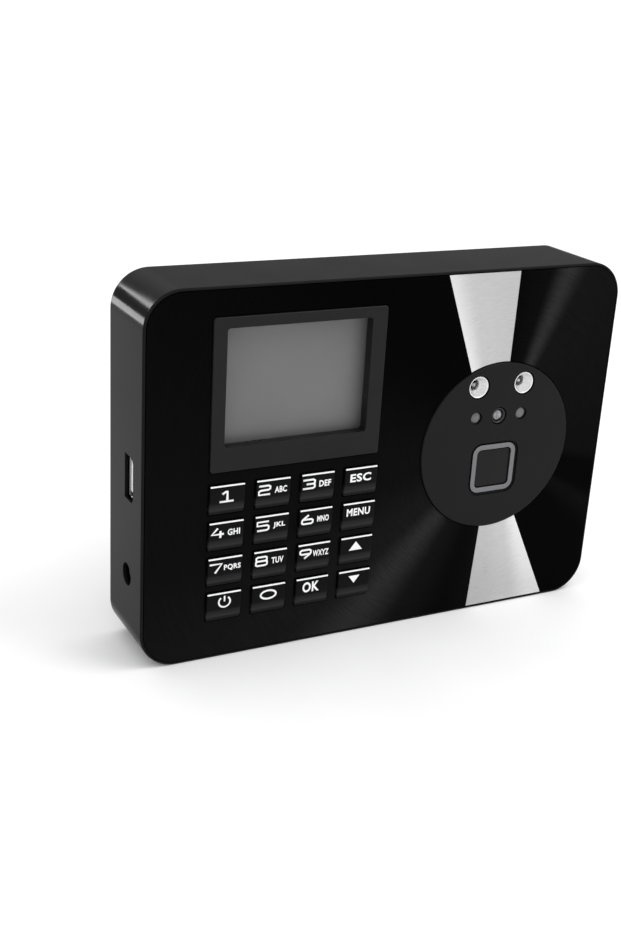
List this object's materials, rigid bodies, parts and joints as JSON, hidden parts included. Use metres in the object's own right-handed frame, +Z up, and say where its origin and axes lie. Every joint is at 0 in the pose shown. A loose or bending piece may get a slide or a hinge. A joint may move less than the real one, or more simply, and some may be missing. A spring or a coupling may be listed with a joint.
{
  "type": "fingerprint scanner terminal",
  "caption": "Wall-hung time-attendance terminal: black case, small display, keypad, fingerprint reader and camera on a round sensor head, with side sockets.",
  "frame": {"origin": "middle of the bottom edge, under the case", "axes": "+X to the right seen from the front, +Y from the front to the back, +Z up"},
  "size_m": [0.175, 0.0312, 0.125],
  "materials": {
    "case": "satin black, moulded ABS",
    "panel": "gloss black with a fine circular grain",
    "inlay": "circularly brushed bright silver",
    "bezel": "fine satin dark grey",
    "window": "clear, polished",
    "screen": "unlit liquid crystal, mid grey",
    "keys": "semi-gloss black with white legends",
    "disc": "matte dark grey",
    "ring": "satin grey",
    "finger_glass": "smooth dark grey",
    "reflector": "metallised, bright",
    "lens": "clear, polished",
    "ir_lens": "tinted grey epoxy",
    "camera": "fine satin black",
    "steel": "plated, satin",
    "board": "green solder mask",
    "rubber": "soft silicone, grey",
    "tongue": "white moulded plastic",
    "socket": "moulded black plastic",
    "ribbon": "flat cable, off-white",
    "cone": "pressed black paper"
  },
  "bodies": {
    "root": {"front_shell": "case", "rear_cover": "case", "front_panel": "panel", "upper_accent": "inlay", "lower_accent": "inlay", "display_bezel": "bezel", "display_window": "window", "lcd_panel": "screen", "sensor_disc": "disc", "fingerprint_ring": "ring", "fingerprint_glass": "finger_glass", "led_reflector_left": "reflector", "led_reflector_right": "reflector", "led_emitter_left": "lens", "led_emitter_right": "lens", "camera_lens": "lens", "ir_led_left": "ir_lens", "ir_led_right": "ir_lens", "camera_module": "camera", "lcd_frame": "steel", "usb_shell": "steel", "power_pin": "steel", "coin_cell": "steel", "speaker_frame": "steel", "cover_screw_1": "steel", "cover_screw_2": "steel", "cover_screw_3": "steel", "cover_screw_4": "steel", "board_screw_1": "steel", "board_screw_2": "steel", "board_screw_3": "steel", "board_screw_4": "steel", "main_board": "board", "keypad_board": "board", "sensor_board": "board", "keypad_mat": "rubber", "usb_tongue": "tongue", "power_socket": "socket", "fingerprint_module": "socket", "cell_holder": "socket", "display_ribbon": "ribbon", "keypad_ribbon": "ribbon", "sensor_ribbon": "ribbon", "speaker_cone": "cone"},
    "key_1": {"key_1": "keys"},
    "key_2": {"key_2": "keys"},
    "key_3": {"key_3": "keys"},
    "key_esc": {"key_esc": "keys"},
    "key_4": {"key_4": "keys"},
    "key_5": {"key_5": "keys"},
    "key_6": {"key_6": "keys"},
    "key_menu": {"key_menu": "keys"},
    "key_7": {"key_7": "keys"},
    "key_8": {"key_8": "keys"},
    "key_9": {"key_9": "keys"},
    "key_up": {"key_up": "keys"},
    "key_power": {"key_power": "keys"},
    "key_0": {"key_0": "keys"},
    "key_ok": {"key_ok": "keys"},
    "key_down": {"key_down": "keys"}
  },
  "joints": [
    {"name": "key_1_press", "type": "slide", "parent": "root", "child": "key_1", "axis": [0, 1, 0], "range_m": [0, 0.001], "stiffness_N_per_m": 600},
    {"name": "key_2_press", "type": "slide", "parent": "root", "child": "key_2", "axis": [0, 1, 0], "range_m": [0, 0.001], "stiffness_N_per_m": 600},
    {"name": "key_3_press", "type": "slide", "parent": "root", "child": "key_3", "axis": [0, 1, 0], "range_m": [0, 0.001], "stiffness_N_per_m": 600},
    {"name": "key_esc_press", "type": "slide", "parent": "root", "child": "key_esc", "axis": [0, 1, 0], "range_m": [0, 0.001], "stiffness_N_per_m": 600},
    {"name": "key_4_press", "type": "slide", "parent": "root", "child": "key_4", "axis": [0, 1, 0], "range_m": [0, 0.001], "stiffness_N_per_m": 600},
    {"name": "key_5_press", "type": "slide", "parent": "root", "child": "key_5", "axis": [0, 1, 0], "range_m": [0, 0.001], "stiffness_N_per_m": 600},
    {"name": "key_6_press", "type": "slide", "parent": "root", "child": "key_6", "axis": [0, 1, 0], "range_m": [0, 0.001], "stiffness_N_per_m": 600},
    {"name": "key_menu_press", "type": "slide", "parent": "root", "child": "key_menu", "axis": [0, 1, 0], "range_m": [0, 0.001], "stiffness_N_per_m": 600},
    {"name": "key_7_press", "type": "slide", "parent": "root", "child": "key_7", "axis": [0, 1, 0], "range_m": [0, 0.001], "stiffness_N_per_m": 600},
    {"name": "key_8_press", "type": "slide", "parent": "root", "child": "key_8", "axis": [0, 1, 0], "range_m": [0, 0.001], "stiffness_N_per_m": 600},
    {"name": "key_9_press", "type": "slide", "parent": "root", "child": "key_9", "axis": [0, 1, 0], "range_m": [0, 0.001], "stiffness_N_per_m": 600},
    {"name": "key_up_press", "type": "slide", "parent": "root", "child": "key_up", "axis": [0, 1, 0], "range_m": [0, 0.001], "stiffness_N_per_m": 600},
    {"name": "key_power_press", "type": "slide", "parent": "root", "child": "key_power", "axis": [0, 1, 0], "range_m": [0, 0.001], "stiffness_N_per_m": 600},
    {"name": "key_0_press", "type": "slide", "parent": "root", "child": "key_0", "axis": [0, 1, 0], "range_m": [0, 0.001], "stiffness_N_per_m": 600},
    {"name": "key_ok_press", "type": "slide", "parent": "root", "child": "key_ok", "axis": [0, 1, 0], "range_m": [0, 0.001], "stiffness_N_per_m": 600},
    {"name": "key_down_press", "type": "slide", "parent": "root", "child": "key_down", "axis": [0, 1, 0], "range_m": [0, 0.001], "stiffness_N_per_m": 600}
  ]
}
